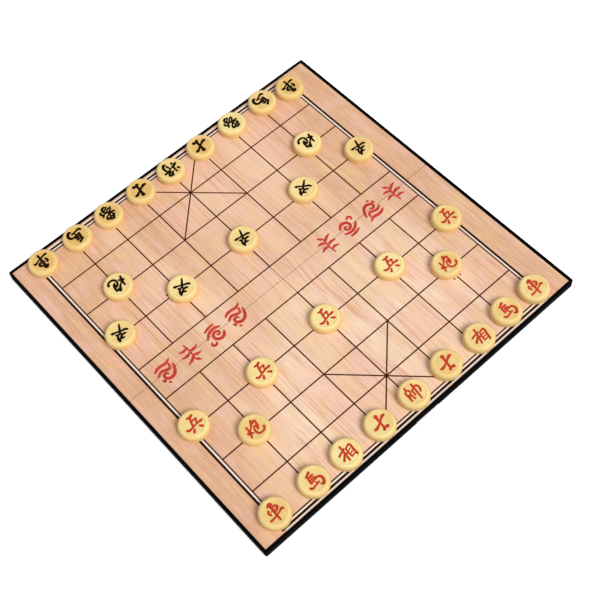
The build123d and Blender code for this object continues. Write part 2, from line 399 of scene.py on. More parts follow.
@dataclass(frozen=True)
class WoodPrint:
    """Satin film printed as pale wood, with the grain running from player to player."""

    name: str = "printed_wood"
    tan: Colour = srgb(220, 171, 136)
    rose: Colour = srgb(240, 199, 169)
    blush: Colour = srgb(251, 220, 192)
    pink: Colour = srgb(245, 190, 172)
    straw: Colour = srgb(236, 196, 142)
    lilac: Colour = srgb(238, 196, 180)
    streak: Colour = srgb(206, 146, 106)
    grain: Colour = srgb(196, 150, 118)
    rose_place: float = 0.45
    tints: tuple[Wash, ...] = (
        Wash(Grain.FLUSH, 0.5, 0.36, 0.55, pink),
        Wash(Grain.FLUSH, 0.54, 0.68, 0.35, straw),
        Wash(Grain.BAND, 0.55, 0.72, 0.6, straw),
        Wash(Grain.TINGE, 0.52, 0.66, 0.48, straw),
        Wash(Grain.TINGE, 0.48, 0.34, 0.48, lilac),
    )
    lines: tuple[Wash, ...] = (
        Wash(Grain.FINE, 0.56, 0.74, 0.46, grain),
        Wash(Grain.FINE, 0.5, 0.3, 0.3, blush),
        Wash(Grain.PORE, 0.53, 0.68, 0.4, grain),
    )
    cloud: float = 7.0
    cloud_share: float = 0.55
    cloud_span: Span = (0.38, 0.6)
    level_span: Span = (0.42, 1.22)
    # Painted shade, not print: the wood darkens towards both sides and towards the far end.
    side_span: Span = (0.09, 0.17)
    side_painted_shade: float = 0.9
    far_span: Span = (-0.12, 0.17)
    far_painted_shade: float = 0.85
    vein_reach: float = 0.028
    vein_span: Span = (0.4, 0.6)
    vein_share: float = 0.7
    specular: float = 0.25
    roughness: Span = (0.42, 0.56)
    pore_depth: float = 0.02 * MM

    def _shade(self, tree: Tree, board: Socket) -> Socket:
        """Broad clouds and boards, and painted shade that darkens the wood towards both sides and the far
        end.

        Args:
            tree: Tree of the material.
            board: Value of the widest layer of grain.

        Returns:
            Place on the ramp of wood colours.
        """
        cloud = tree.group(GROUPS.skin, Cloud=self.cloud)["Cloudiness"]
        clouds = tree.math("MULTIPLY", cloud, self.cloud_share)
        boards = tree.math("MULTIPLY", board, 1.0 - self.cloud_share)
        level = tree.remap(tree.math("ADD", clouds, boards), *self.cloud_span, *self.level_span)
        x, y, _ = tree.axes()
        # Painted shade towards both sides and the far end.
        shade_aside = tree.remap(tree.math("ABSOLUTE", x), *self.side_span, 0.0, self.side_painted_shade)
        shade_away = tree.remap(y, *self.far_span, 0.0, self.far_painted_shade)
        return tree.math("SUBTRACT", tree.math("SUBTRACT", level, shade_aside), shade_away)

    def _veins(self, tree: Tree, vein: Socket, flush: Socket) -> Socket:
        """Thin veins along the middle value of their layer, where the wood is flushed.

        Args:
            tree: Tree of the material.
            vein: Value of the layer that the veins follow.
            flush: Value of the layer that says where they show.

        Returns:
            Share of the vein's colour.
        """
        off_vein = tree.math("ABSOLUTE", tree.math("SUBTRACT", vein, NOISE_MIDDLE))
        in_vein = tree.remap(off_vein, 0.0, self.vein_reach, 1.0, 0.0)
        return tree.math("MULTIPLY", in_vein, tree.remap(flush, *self.vein_span, self.vein_share, 0.0))

    @staticmethod
    def _washed(tree: Tree, layers: dict[Grain, Socket], colour: Socket,
                washes: tuple[Wash, ...]) -> Socket:
        """Lay washes over a colour, one after the other.

        Args:
            tree: Tree of the material.
            layers: Value of each layer of grain.
            colour: Colour below the washes.
            washes: The washes, lowest first.

        Returns:
            The washed colour.
        """
        for wash in washes:
            share = tree.remap(layers[wash.layer], wash.start, wash.full, 0.0, wash.share)
            colour = tree.mix(share, colour, wash.colour)
        return colour

    def make(self) -> bpy.types.Material:
        """Build the material.

        Returns:
            The material.
        """
        material, tree, shader = start_material(self.name, {"Specular IOR Level": self.specular})
        layers = {grain: grain.place(tree) for grain in Grain}
        stops = [(0.0, self.tan), (self.rose_place, self.rose), (1.0, self.blush)]
        base = tree.ramp(self._shade(tree, layers[Grain.BOARD]), stops)
        tinted = self._washed(tree, layers, base, self.tints)
        veins = self._veins(tree, layers[Grain.VEIN], layers[Grain.FLUSH])
        colour = self._washed(tree, layers, tree.mix(veins, tinted, self.streak), self.lines)
        roughness = tree.remap(layers[Grain.FINE], *NOISE_SPAN, *self.roughness)
        tree.dress(shader, colour, roughness, layers[Grain.PORE], self.pore_depth)
        return material


@dataclass(frozen=True)
class DiscPlastic:
    """Cream yellow plastic: each disc has its own tint and turned rings on its face, with painted shade on
    its sides and shoulders and in the ring round its face.
    """

    name: str = "disc_plastic"
    cream: Colour = srgb(249, 229, 162)
    amber: Colour = srgb(229, 183, 107)
    # The side colour is painted light and shade on the disc's sides and shoulders, in place of the top's
    # tone.
    side: Colour = srgb(233, 200, 133)
    # The groove colour is painted shade: a darker ring at the edge of the sunk face, where the groove holds
    # shadow.
    groove: Colour = srgb(214, 164, 96)
    grain: float = 2600.0
    cloud: float = 95.0
    cloud_share: float = 1.2
    rise_span: Span = (0.72, 0.995)
    side_shade_share: float = 0.95
    groove_place: float = 0.725
    groove_reach: float = 0.025
    groove_share: float = 0.3
    ring_start: float = 0.645
    ring_tint: float = 0.6
    ring_count: float = 22.0
    ring_height: float = 0.35
    grain_depth: float = 0.02 * MM
    roughness: Span = (0.34, 0.46)
    specular: float = 0.1
    glow_share: float = 0.12
    glow_reach: tuple[float, float, float] = (4 * MM, 2.5 * MM, 1 * MM)

    def make(self) -> bpy.types.Material:
        """Build the material.

        Returns:
            The material.
        """
        material, tree, shader = start_material(
            self.name,
            {"Specular IOR Level": self.specular, "Subsurface Weight": self.glow_share,
             "Subsurface Radius": self.glow_reach, "Subsurface Scale": 1.0},
        )
        skin = tree.group(GROUPS.skin, Grain=self.grain, Cloud=self.cloud)
        cloud = tree.math("SUBTRACT", skin["Cloudiness"], NOISE_MIDDLE)
        spot = tree.node("ShaderNodeUVMap", uv_map="face").outputs[0]
        radius = tree.node("ShaderNodeVectorMath", {0: spot}, operation="LENGTH").outputs["Value"]
        inner = tree.remap(radius, self.ring_start, self.groove_place, 1.0, self.ring_tint)
        tint = tree.math("MULTIPLY", tree.attribute("tint"), inner)
        clouded = tree.math("ADD", tint, tree.math("MULTIPLY", cloud, self.cloud_share))
        share = tree.node("ShaderNodeClamp", {0: clouded}).outputs[0]
        # Painted shade: faces that turn away from up take the side colour.
        shade_on_side = tree.remap(tree.attribute("rise"), *self.rise_span, self.side_shade_share, 0.0)
        body = tree.mix(shade_on_side, tree.mix(share, self.cream, self.amber), self.side)
        # Painted shade of the groove: a thin darker ring at the edge of the sunk face.
        off_groove = tree.math("ABSOLUTE", tree.math("SUBTRACT", radius, self.groove_place))
        in_groove_shade = tree.remap(off_groove, 0.0, self.groove_reach, self.groove_share, 0.0)
        rings = tree.math("SINE", tree.math("MULTIPLY", radius, 2 * math.pi * self.ring_count))
        height = tree.math("ADD", tree.math("MULTIPLY", rings, self.ring_height), skin["Height"])
        roughness = tree.remap(skin["Cloudiness"], *NOISE_SPAN, *self.roughness)
        colour = tree.mix(in_groove_shade, body, self.groove)
        tree.dress(shader, colour, roughness, height, self.grain_depth)
        return material


class Finishes:
    """Every material of the case, built once."""

    def __init__(self) -> None:
        """Build the materials."""
        self.case = SkinFinish(
            "black_case", srgb(4, 4, 5), srgb(11, 11, 12), roughness=(0.8, 0.9), grain=2200.0,
            grain_depth=0.04 * MM, specular=0.01,
        ).make()
        self.foam = SkinFinish(
            "foam_liner", srgb(66, 66, 70), srgb(88, 88, 92), roughness=(0.85, 0.95), grain=1100.0,
            grain_depth=0.2 * MM,
        ).make()
        self.rubber = SkinFinish(
            "foot_rubber", srgb(22, 22, 23), srgb(32, 32, 33), roughness=(0.7, 0.85), grain=1800.0,
            grain_depth=0.06 * MM,
        ).make()
        self.ink = self._ink("line_ink", srgb(60, 24, 4), srgb(82, 37, 10), 220.0, 0.05)
        self.border_ink = self._ink("border_ink", srgb(18, 6, 2), srgb(36, 14, 6), 220.0, 0.05)
        self.pale_ink = self._ink("pale_border_ink", srgb(246, 224, 208), srgb(236, 210, 192), 40.0, 0.5)
        self.red_ink = self._ink("red_ink", srgb(186, 46, 40), srgb(208, 72, 60), 160.0, 0.15)
        self.paint = {
            Side.RED: self._paint("red_mark_paint", srgb(180, 50, 28), srgb(208, 68, 46), 0.12),
            Side.BLACK: self._paint("black_mark_paint", srgb(14, 6, 1), srgb(26, 13, 4), 0.04),
        }
        self.nickel = MetalFinish("nickel_plate", srgb(206, 203, 196), roughness=(0.22, 0.34)).make()
        self.rod = MetalFinish("drawn_rod", srgb(188, 188, 186), roughness=(0.28, 0.42)).make()
        self.tin = MetalFinish(
            "tinned_sheet", srgb(176, 178, 178), roughness=(0.35, 0.5), across=1800.0, along=12.0
        ).make()
        self.wood = WoodPrint().make()
        self.disc = DiscPlastic().make()

    @staticmethod
    def _ink(name: str, dark: Colour, light: Colour, cloud: float, specular: float) -> bpy.types.Material:
        """Build a thin printing ink.

        Args:
            name: Name of the ink.
            dark: Its darkest colour.
            light: Its lightest colour.
            cloud: Scale of its clouds, per metre.
            specular: How much light it mirrors.

        Returns:
            The material.
        """
        return SkinFinish(
            name, dark, light, roughness=(0.45, 0.55), grain=1500.0, grain_depth=0.01 * MM,
            cloud=cloud, specular=specular,
        ).make()

    @staticmethod
    def _paint(name: str, dark: Colour, light: Colour, specular: float) -> bpy.types.Material:
        """Build a brushed paint.

        Args:
            name: Name of the paint.
            dark: Its darkest colour.
            light: Its lightest colour.
            specular: How much light it mirrors.

        Returns:
            The material.
        """
        return SkinFinish(
            name, dark, light, roughness=(0.4, 0.5), grain=900.0, grain_depth=0.03 * MM,
            cloud=260.0, specular=specular,
        ).make()


# ------------------------------------------------------------------ mesh helpers


def finish_mesh(name: str, build: bmesh.types.BMesh, material: bpy.types.Material,
                smooth_angle: float = 30.0) -> bpy.types.Object:
    """Turn a bmesh into an object with outward normals.

    Args:
        name: Name of the new piece.
        build: The finished bmesh, which is freed.
        material: Material for all its faces.
        smooth_angle: Edges that turn more than this many degrees stay sharp.

    Returns:
        The linked object, at the origin.
    """
    bmesh.ops.recalc_face_normals(build, faces=build.faces)
    mesh = bpy.data.meshes.new(name)
    build.to_mesh(mesh)
    build.free()
    mesh.materials.append(material)
    mesh.polygons.foreach_set("use_smooth", [True] * len(mesh.polygons))
    mesh.set_sharp_from_angle(angle=math.radians(smooth_angle))
    piece = bpy.data.objects.new(name, mesh)
    bpy.context.scene.collection.objects.link(piece)
    return piece


def spin_profile(profile: list[Point], centre: Vector, steps: int) -> bmesh.types.BMesh:
    """Spin a profile into a closed round solid.

    Args:
        profile: Radius and height of each point, in metres, from axis to axis.
        centre: Foot of the axis.
        steps: Number of steps round.

    Returns:
        A bmesh of the solid.
    """
    build = bmesh.new()
    verts = [build.verts.new((centre.x + r, centre.y, centre.z + z)) for r, z in profile]
    edges = [build.edges.new(pair) for pair in zip(verts, verts[1:])]
    bmesh.ops.spin(
        build, geom=verts + edges, cent=centre, axis=(0, 0, 1), angle=2 * math.pi,
        steps=steps, use_merge=True,
    )
    bmesh.ops.remove_doubles(build, verts=build.verts, dist=MERGE_DISTANCE)
    return build


def arc(centre: Point, radius: float, start: float, end: float, count: int) -> list[Point]:
    """Points on an arc.

    Args:
        centre: Centre of the arc.
        radius: Its radius.
        start: First angle, in degrees.
        end: Last angle, in degrees.
        count: Number of points.

    Returns:
        The points, both ends included.
    """
    points = []
    for index in range(count):
        angle = math.radians(start + (end - start) * index / (count - 1))
        points.append((centre[0] + radius * math.cos(angle), centre[1] + radius * math.sin(angle)))
    return points


def merged_copy(node: str, material: bpy.types.Material, body: str) -> bpy.types.Object:
    """Copy a CAD node, merge its loose triangles, shade it and let it stand for the node.

    Args:
        node: Name of the CAD node.
        material: Material for the copy.
        body: Body that the copy rides on.

    Returns:
        The new piece.
    """
    build = bmesh.new()
    build.from_mesh(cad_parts[node].data)
    bmesh.ops.remove_doubles(build, verts=build.verts, dist=MERGE_DISTANCE)
    piece = finish_mesh(f"{node}_shaded", build, material)
    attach(piece, body)
    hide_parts(node)
    return piece


# ------------------------------------------------------------------ brush strokes


@dataclass(frozen=True)
class Brush:
    """Strokes painted on a flat face: each point gives right, down and half the width."""

    size: float = 19.0 * MM
    grid: float = 100.0
    boldness: float = 1.3
    thickness: float = 0.04
    end_length: float = 0.8
    end_share: float = 0.35
    curve_steps: int = 5
    round_steps: int = 2
    smooth_angle: float = 60.0

    def _with_ends(self, stroke: Stroke) -> Stroke:
        """Add a short rounded end before and after a stroke.

        Args:
            stroke: The stroke's points.

        Returns:
            The same points between the two ends.
        """
        ends = []
        for near, far in ((stroke[0], stroke[1]), (stroke[-1], stroke[-2])):
            step = Vector((near[0] - far[0], near[1] - far[1])).normalized()
            reach = near[2] * self.end_length
            ends.append((near[0] + step.x * reach, near[1] + step.y * reach, near[2] * self.end_share))
        return [ends[0], *stroke, ends[1]]

    def paint(self, name: str, strokes: list[Stroke], place: Matrix,
              material: bpy.types.Material) -> bpy.types.Object:
        """Paint strokes as one thin raised mesh.

        Args:
            name: Name of the new piece.
            strokes: The strokes, in grid units.
            place: Where the middle of the grid goes, and how it is turned.
            material: Paint or ink.

        Returns:
            The new piece.
        """
        curve = bpy.data.curves.new(name, "CURVE")
        curve.dimensions = "3D"
        curve.resolution_u = self.curve_steps
        curve.bevel_depth = 1.0
        curve.bevel_resolution = self.round_steps
        curve.use_fill_caps = True
        unit = self.size / self.grid
        rights = [right for stroke in strokes for right, _, _ in stroke]
        downs = [down for stroke in strokes for _, down, _ in stroke]
        middle = ((min(rights) + max(rights)) / 2, (min(downs) + max(downs)) / 2)
        for stroke in strokes:
            points = self._with_ends(stroke)
            spline = curve.splines.new("BEZIER")
            spline.bezier_points.add(len(points) - 1)
            for knot, (right, down, width) in zip(spline.bezier_points, points):
                knot.co = ((right - middle[0]) * unit, (middle[1] - down) * unit, 0)
                knot.radius = width * self.boldness * unit
                knot.handle_left_type = knot.handle_right_type = "AUTO"
        holder = bpy.data.objects.new(name, curve)
        mesh = bpy.data.meshes.new_from_object(holder)
        bpy.data.objects.remove(holder)
        bpy.data.curves.remove(curve)
        mesh.transform(place @ Matrix.Diagonal((1, 1, self.thickness, 1)))
        build = bmesh.new()
        build.from_mesh(mesh)
        bpy.data.meshes.remove(mesh)
        return finish_mesh(name, build, material, self.smooth_angle)


class Rank(Enum):
    """The ten marks that a set's discs carry, as strokes on a grid of 100."""

    CHARIOT = [
        [(36, 22, 3.6), (44, 15, 5), (50, 11, 5)],
        [(50, 11, 5), (56, 16, 5), (60, 22, 4)],
        [(30, 34, 4.6), (24, 46, 5), (29, 58, 4.2)],
        [(48, 36, 3), (62, 32, 4.4), (71, 42, 5.6), (63, 53, 4.4), (50, 56, 3)],
        [(34, 46, 2.6), (60, 44, 3)],
        [(8, 76, 5), (22, 76, 4.6), (45, 72, 3.4), (66, 67, 3.4), (80, 62, 5.6), (87, 66, 5)],
        [(50, 12, 6), (48, 40, 5), (46, 70, 5), (45, 97, 4)],
    ]
    HORSE = [
        [(31, 23, 5), (44, 17, 4.8), (56, 11, 6)],
        [(38, 24, 4.4), (34, 42, 4.6), (33, 60, 4.8)],
        [(38, 34, 3.2), (54, 28, 4), (63, 30, 4.6)],
        [(38, 46, 3.2), (54, 41, 3.8), (64, 44, 4.8)],
        [(52, 32, 3.6), (50, 54, 3.6)],
        [(34, 57, 4), (60, 52, 4), (78, 52, 5.2), (86, 64, 6), (83, 80, 6.4), (74, 89, 6.6), (64, 85, 4.6)],
        [(15, 69, 4.6), (20, 78, 5.6), (40, 76, 4), (66, 71, 4)],
        [(48, 62, 3.2), (54, 67, 3.6)],
    ]
    MINISTER = [
        [(14, 46, 4.6), (30, 40, 4.2), (44, 37, 4), (55, 33, 4)],
        [(47, 13, 4.8), (45, 36, 4.4), (41, 62, 4.4), (36, 88, 4.8)],
        [(41, 50, 4), (29, 62, 4.6), (15, 75, 5.2)],
        [(46, 52, 3), (50, 60, 3.2)],
        [(60, 40, 3.8), (56, 60, 4.2), (57, 84, 4.4)],
        [(60, 39, 3.6), (72, 35, 4), (84, 34, 5.2), (84, 58, 4.8), (81, 91, 5)],
        [(62, 54, 2.8), (76, 50, 3.2)],
        [(61, 68, 2.8), (76, 65, 3.2)],
        [(60, 82, 3), (78, 79, 3.4)],
    ]
    ADVISOR = [
        [(52, 14, 8.6), (51, 30, 6), (48, 56, 5), (46, 82, 5.4)],
        [(6, 61, 5), (16, 62, 6.6), (40, 53, 4.2), (62, 41, 4.2), (75, 33, 6.6), (87, 32, 5)],
        [(39, 86, 7.2), (50, 81, 4.8), (64, 83, 8)],
    ]
    MARSHAL = [
        [(33, 12, 4.4), (27, 21, 4.4)],
        [(18, 31, 4.4), (18, 54, 4.4), (17, 80, 4.8)],
        [(19, 32, 3.4), (34, 28, 4), (39, 34, 4.4), (36, 48, 3.6), (22, 51, 3)],
        [(22, 62, 3), (34, 57, 3.4), (34, 70, 4.2), (37, 79, 5)],
        [(50, 41, 4.4), (49, 56, 4.2), (48, 68, 4.2)],
        [(50, 42, 3.6), (64, 37, 4), (78, 34, 4.8), (85, 44, 5), (83, 60, 4.8), (76, 70, 4)],
        [(67, 15, 4.8), (66, 40, 4.4), (62, 70, 4.4), (59, 98, 3.6)],
    ]
    CANNON = [
        [(8, 52, 4.6), (13, 60, 6.4)],
        [(21, 26, 4.2), (20, 44, 4.4), (17, 62, 4.8), (10, 80, 4.4)],
        [(20, 56, 4.4), (30, 69, 3.8)],
        [(22, 52, 3.4), (34, 43, 3.4), (44, 33, 4.6), (52, 22, 6.6), (56, 12, 5)],
        [(54, 30, 4.4), (68, 23, 4.4), (68, 40, 5), (63, 58, 5), (54, 66, 3.6)],
        [(44, 52, 3.4), (56, 44, 4), (56, 56, 3.6)],
        [(46, 50, 3.8), (41, 66, 4.6), (46, 82, 4.8), (60, 88, 4.6), (77, 84, 4.4), (85, 71, 5.8)],
    ]
    PAWN = [
        [(40, 14, 4), (54, 17, 5.4), (69, 14, 5.6)],
        [(56, 19, 4.6), (47, 36, 4.8), (41, 58, 4.6)],
        [(48, 40, 3.6), (62, 37, 4), (74, 40, 5.4)],
        [(68, 44, 4.2), (64, 58, 4)],
        [(6, 59, 4.6), (15, 66, 5.6), (40, 63, 4.2), (68, 60, 4.2), (84, 61, 6.2), (92, 60, 3.6)],
        [(38, 74, 3.4), (32, 81, 5), (27, 88, 6)],
        [(62, 75, 3.4), (68, 81, 5), (74, 88, 6.2)],
    ]
    GENERAL = [
        [(13, 20, 5.4), (17, 31, 5)],
        [(8, 59, 5.4), (22, 51, 5), (36, 46, 3.4)],
        [(22, 62, 4), (25, 72, 5.4)],
        [(34, 12, 4.2), (34, 30, 4.2), (31, 50, 5), (32, 58, 3)],
        [(64, 8, 6), (58, 20, 5), (46, 29, 3.4)],
        [(62, 12, 5), (78, 16, 5.2), (72, 27, 5), (56, 36, 3.6)],
        [(58, 20, 3), (64, 27, 3.4)],
        [(38, 50, 3.2), (60, 44, 3.8), (76, 38, 4.6), (90, 40, 5.4)],
        [(72, 38, 4), (74, 58, 5), (71, 78, 5.8), (60, 88, 5.6), (53, 82, 3.6)],
        [(51, 54, 3.6), (54, 68, 5), (56, 74, 4)],
    ]
    ELEPHANT = [
        [(45, 4, 5.6), (38, 15, 4.6), (26, 27, 3.8)],
        [(44, 8, 4), (58, 9, 4.4), (52, 21, 4)],
        [(31, 25, 3.8), (35, 40, 4)],
        [(34, 24, 3.4), (56, 20, 3.8), (71, 19, 5), (65, 35, 4.2)],
        [(51, 20, 3.6), (48, 38, 3.6)],
        [(17, 39, 4.4), (30, 44, 4.6), (48, 40, 4), (64, 35, 3.4)],
        [(50, 42, 3.8), (40, 52, 4), (24, 62, 3.6)],
        [(44, 50, 4), (58, 58, 4.8), (64, 74, 5.2), (56, 88, 5.4), (44, 90, 4.6)],
        [(52, 58, 3.2), (40, 68, 3.8), (20, 70, 4)],
        [(58, 70, 3.2), (46, 77, 3.4), (36, 84, 4.4)],
        [(82, 42, 4.8), (74, 51, 4.4), (64, 55, 3.2)],
        [(70, 52, 3.6), (82, 63, 5), (78, 74, 5)],
    ]
    SOLDIER = [
        [(63, 8, 5), (58, 16, 4)],
        [(35, 22, 3.6), (50, 23, 5), (68, 19, 5)],
        [(52, 26, 4), (42, 38, 4.6), (30, 42, 5), (22, 41, 3.6)],
        [(42, 38, 4), (48, 48, 4)],
        [(67, 24, 4), (62, 38, 4.4), (54, 48, 3.4)],
        [(63, 38, 3.6), (68, 48, 4.6)],
        [(8, 55, 4), (18, 60, 5.2), (42, 59, 3.8), (66, 61, 3.8), (82, 60, 5.8), (88, 61, 3.4)],
        [(50, 44, 4.2), (46, 60, 5), (42, 78, 4.4), (38, 97, 3)],
    ]


class Motif(Enum):
    """Traditional scrolls for the river, as strokes on the same grid."""

    CLOUD = [
        [(46, 49, 2.6), (40, 43, 3.4), (32, 48, 4), (37, 59, 4.4), (52, 59, 4.8), (61, 44, 5.2),
         (50, 27, 5.4), (29, 26, 5), (14, 42, 3.6)],
        [(14, 68, 3), (38, 76, 5), (66, 70, 5.2), (86, 52, 3.6)],
        [(28, 92, 3), (52, 91, 4.8), (76, 84, 3)],
        [(66, 22, 3.2), (75, 15, 4.4), (86, 22, 4.4), (82, 33, 3)],
    ]
    WAVE = [
        [(12, 66, 3.4), (20, 42, 4.8), (40, 24, 5.6), (62, 27, 5.4), (70, 42, 4.6), (58, 50, 4), (49, 42, 3)],
        [(24, 76, 3.4), (33, 58, 4.6), (50, 61, 4.8), (68, 66, 5), (88, 56, 3.4)],
        [(12, 92, 3), (30, 84, 4.8), (50, 86, 5.2), (70, 86, 5), (88, 77, 3)],
        [(78, 24, 5), (84, 34, 3.4)],
        [(70, 12, 3.4), (62, 8, 3)],
    ]
    BAMBOO = [
        [(52, 97, 2.4), (49, 60, 2.8), (54, 20, 2.4)],
        [(52, 42, 2.4), (35, 33, 5.2), (16, 32, 1.6)],
        [(52, 38, 2.4), (68, 24, 5.2), (88, 18, 1.6)],
        [(49, 62, 2.4), (32, 59, 5.4), (12, 66, 1.6)],
        [(50, 58, 2.4), (70, 50, 5.4), (91, 54, 1.6)],
        [(54, 22, 2.4), (45, 13, 4.6), (36, 3, 1.6)],
        [(50, 80, 2.4), (67, 75, 5.2), (86, 82, 1.6)],
    ]


# ------------------------------------------------------------------ the discs


@dataclass
class Disc:
    """One playing disc with its magnet and its painted mark."""

    node: str
    side: Side
    rank: Rank
    tilt: float
    tint: float
    shoulder: float = 3.2 * MM
    shoulder_points: int = 11
    foot_round: float = 1.2 * MM
    foot_points: int = 6
    face_land: float = 0.3 * MM
    face_sink: float = 0.25 * MM
    face_bevel: float = 0.5 * MM
    face_slope: tuple[Point, ...] = ((0.2, 0.3), (0.6, 0.9), (1.0, 1.0))
    seam_rise: float = 0.9 * MM
    seam_depth: float = 0.07 * MM
    recess_lip: float = 0.3 * MM
    magnet_radius: float = 8.0 * MM
    magnet_thickness: float = 2.6 * MM
    magnet_edge: float = 0.25 * MM
    magnet_seat: float = 0.3 * MM
    magnet_glue: float = 0.1 * MM
    red_boldness: float = 1.15
    black_boldness: float = 1.3
    steps: int = 96
    magnet_steps: int = 48

    def __post_init__(self) -> None:
        """Take the disc's place and size from its CAD node."""
        low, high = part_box(self.node)
        self.radius = (high.x - low.x) / 2
        self.height = high.z - low.z
        self.foot = Vector(((low.x + high.x) / 2, (low.y + high.y) / 2, low.z))
        self.body = f"disc_{self.node}"

    def _profile(self) -> list[Point]:
        """Outline from the recess under the disc round to the middle of its face.

        Returns:
            Radius and height of each point.
        """
        recess = self.magnet_radius + self.magnet_glue
        ceiling = self.magnet_seat + self.magnet_thickness + self.magnet_glue
        crown = self.radius - self.shoulder
        face = crown - self.face_land
        floor = self.height - self.face_sink
        seam = self.foot_round + self.seam_rise
        slope = [(face - self.face_bevel * inward, self.height - self.face_sink * down)
                 for inward, down in self.face_slope]
        return [
            (0, ceiling), (recess, ceiling), (recess, self.recess_lip), (recess + self.recess_lip, 0),
            *arc((self.radius - self.foot_round, self.foot_round), self.foot_round, -90, 0,
                 self.foot_points),
            (self.radius, seam - self.seam_depth * 2), (self.radius - self.seam_depth, seam),
            (self.radius, seam + self.seam_depth * 2),
            *arc((crown, self.height - self.shoulder), self.shoulder, 0, 90, self.shoulder_points),
            (face, self.height), *slope, (face / 2, floor), (0, floor),
        ]

    def _mark_faces(self, piece: bpy.types.Object) -> None:
        """Give the disc its tint, how far each point faces up, which places the painted shade on its sides,
        and a map from its middle.

        Args:
            piece: The disc.
        """
        mesh = piece.data
        tint = mesh.attributes.new("tint", "FLOAT", "POINT")
        tint.data.foreach_set("value", [self.tint] * len(mesh.vertices))
        rise = mesh.attributes.new("rise", "FLOAT", "POINT")
        rise.data.foreach_set("value", [vertex.normal.z for vertex in mesh.vertices])
        uv_map = mesh.uv_layers.new(name="face")
        for loop in mesh.loops:
            offset = (mesh.vertices[loop.vertex_index].co - self.foot) / self.radius
            uv_map.data[loop.index].uv = (offset.x, offset.y)

    def _magnet(self, finishes: Finishes) -> bpy.types.Object:
        """Build the plated magnet in the recess.

        Args:
            finishes: Materials of the case.

        Returns:
            The magnet.
        """
        low, high = self.magnet_seat, self.magnet_seat + self.magnet_thickness
        radius, edge = self.magnet_radius, self.magnet_edge
        outline = [
            (0, low), (radius - edge, low), (radius, low + edge), (radius, high - edge),
            (radius - edge, high), (0, high),
        ]
        body = spin_profile(outline, self.foot, self.magnet_steps)
        return finish_mesh(f"{self.node}_magnet", body, finishes.nickel)

    def _mark(self, finishes: Finishes) -> bpy.types.Object:
        """Paint the mark on the sunk face.

        Args:
            finishes: Materials of the case.

        Returns:
            The mark.
        """
        face_height = Vector((0, 0, self.height - self.face_sink))
        turn = Matrix.Rotation(math.radians(self.side.facing + self.tilt), 4, "Z")
        place = Matrix.Translation(self.foot + face_height) @ turn
        brush = Brush(boldness=self.red_boldness if self.side is Side.RED else self.black_boldness)
        return brush.paint(f"{self.node}_mark", self.rank.value, place, finishes.paint[self.side])

    def make(self, finishes: Finishes) -> list[bpy.types.Object]:
        """Build the disc, its magnet and its mark.

        Args:
            finishes: Materials of the case.

        Returns:
            The three pieces.
        """
        body = spin_profile(self._profile(), self.foot, self.steps)
        disc = finish_mesh(f"{self.node}_disc", body, finishes.disc)
        self._mark_faces(disc)
        pieces = [disc, self._magnet(finishes), self._mark(finishes)]
        for piece, slot in zip(pieces, ("disc_plastic", "magnet_plating", "disc_plastic")):
            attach(piece, self.body)
        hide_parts(self.node)
        return pieces


class Tone(Enum):
    """How far a disc's plastic has gone from cream to amber."""

    PALE = 0.05
    CREAM = 0.25
    YELLOW = 0.45
    GOLD = 0.65
    AMBER = 0.95


@dataclass
class DiscSet:
    """All the discs, with how far each mark is turned from upright."""

    finishes: Finishes
    seed: int = 7
    tone_scatter: float = 0.06

    def _plan(self) -> list[tuple[Side, str, Rank, float, Tone]]:
        """List every disc, in the order in which they are made.

        Returns:
            Side, name, mark, tilt in degrees and tone of each.
        """
        red, black = Side.RED, Side.BLACK
        pale, cream, yellow, gold, amber = Tone
        groups = [
            (red, "chariot", Rank.CHARIOT, (0, 0), (gold, yellow)),
            (red, "horse", Rank.HORSE, (-2, -2), (yellow, gold)),
            (red, "elephant", Rank.MINISTER, (3, -8), (pale, yellow)),
            (red, "advisor", Rank.ADVISOR, (0, -4), (yellow, gold)),
            (red, "general", Rank.MARSHAL, (-1,), (yellow,)),
            (red, "cannon", Rank.CANNON, (0, 3), (gold, gold)),
            (red, "soldier", Rank.PAWN, (0, 6, 6, 0, 2), (yellow, cream, pale, pale, gold)),
            (black, "chariot", Rank.CHARIOT, (3, 4), (amber, amber)),
            (black, "horse", Rank.HORSE, (-2, 15), (amber, gold)),
            (black, "elephant", Rank.ELEPHANT, (0, 18), (amber, cream)),
            (black, "advisor", Rank.ADVISOR, (0, 3), (amber, amber)),
            (black, "general", Rank.GENERAL, (3,), (gold,)),
            (black, "cannon", Rank.CANNON, (0, 3), (yellow, cream)),
            (black, "soldier", Rank.SOLDIER, (-18, -24, -8, -36, -5),
             (yellow, cream, yellow, cream, gold)),
        ]
        plan = []
        for side, name, rank, tilts, tones in groups:
            for number, (tilt, tone) in enumerate(zip(tilts, tones), start=1):
                numbered = f"{name}_{number}" if len(tilts) > 1 else name
                plan.append((side, numbered, rank, float(tilt), tone))
        return plan

    def make(self) -> list[bpy.types.Object]:
        """Build every disc.

        Returns:
            The pieces.
        """
        chance = random.Random(self.seed)
        pieces = []
        for side, name, rank, tilt, tone in self._plan():
            tint = tone.value + chance.uniform(-self.tone_scatter, self.tone_scatter)
            pieces += Disc(f"{side.colour}_{name}", side, rank, tilt, tint).make(self.finishes)
        return pieces


# ------------------------------------------------------------------ the printed board


class Coat(Enum):
    """How high each print stands, in ink heights, so that prints that cross share no face."""

    END_STRIP = 0.6
    OUTER_STRIP = 0.7
    SIDE_STRIP = 0.8
    FILE = 1.0
    MARK_ACROSS = 1.1
    MARK_ALONG = 1.2
    RANK = 1.3
    END_FRAME = 1.5
    PALACE = 1.6
    SIDE_FRAME = 1.8


